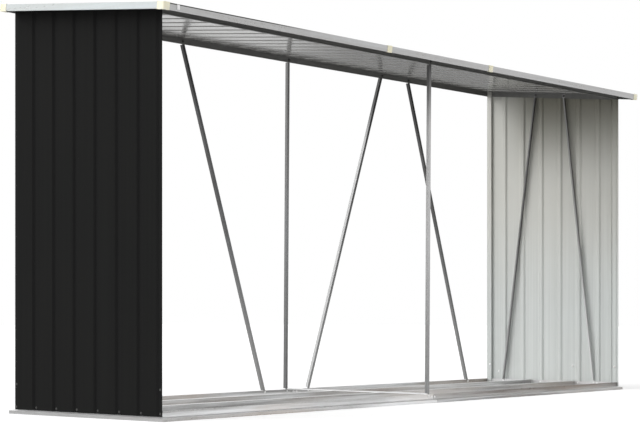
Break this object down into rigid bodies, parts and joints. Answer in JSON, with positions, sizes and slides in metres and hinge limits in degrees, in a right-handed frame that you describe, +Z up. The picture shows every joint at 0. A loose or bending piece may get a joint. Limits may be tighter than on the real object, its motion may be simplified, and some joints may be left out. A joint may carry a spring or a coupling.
{
  "type": "log store",
  "caption": "Long open-fronted log store of folded sheet steel, with ribbed end walls, a braced open back and a mono-pitch ribbed roof.",
  "frame": {"origin": "bottom centre of the overall box, on the ground", "axes": "+Z up, +X along the length towards the right end seen from the low eave side, +Y from the low eave side towards the high side"},
  "size_m": [3.3, 0.85, 1.52],
  "materials": {
    "anthracite_coating": "matt anthracite outside, pale grey-green inside",
    "anthracite_frame": "satin dark grey",
    "galvanised_steel": "satin zinc with faint streaks",
    "pale_trim": "satin pale grey",
    "cream_plastic": "moulded cream plastic"
  },
  "bodies": {
    "root": {"back_beam_left": "anthracite_frame", "back_beam_right": "anthracite_frame", "back_brace_left_inner": "galvanised_steel", "back_brace_left_outer": "galvanised_steel", "back_brace_right_inner": "galvanised_steel", "back_brace_right_outer": "galvanised_steel", "back_post": "galvanised_steel", "back_rail_left": "galvanised_steel", "back_rail_right": "galvanised_steel", "back_trim_left": "pale_trim", "back_trim_middle": "pale_trim", "back_trim_right": "pale_trim", "centre_cross_bar": "galvanised_steel", "front_beam_left": "anthracite_frame", "front_beam_right": "anthracite_frame", "front_post": "galvanised_steel", "front_rail_left": "galvanised_steel", "front_rail_right": "galvanised_steel", "front_trim_left": "pale_trim", "front_trim_middle": "pale_trim", "front_trim_right": "pale_trim", "inner_rail_back": "galvanised_steel", "inner_rail_front": "galvanised_steel", "left_back_corner_post": "galvanised_steel", "left_front_corner_post": "galvanised_steel", "left_side_rail": "galvanised_steel", "left_top_angle": "anthracite_frame", "left_trim": "pale_trim", "left_wall": "anthracite_coating", "left_wall_brace_back": "galvanised_steel", "left_wall_brace_front": "galvanised_steel", "rail_joint_plates": "galvanised_steel", "right_back_corner_post": "galvanised_steel", "right_front_corner_post": "galvanised_steel", "right_side_rail": "galvanised_steel", "right_top_angle": "anthracite_frame", "right_trim": "pale_trim", "right_wall": "anthracite_coating", "right_wall_brace_back": "galvanised_steel", "right_wall_brace_front": "galvanised_steel", "roof_corner_caps": "cream_plastic", "roof_sheet_1": "anthracite_coating", "roof_sheet_2": "anthracite_coating", "roof_sheet_3": "anthracite_coating", "roof_sheet_4": "anthracite_coating", "roof_sheet_5": "anthracite_coating", "trim_joint_caps": "cream_plastic"}
  },
  "joints": []
}
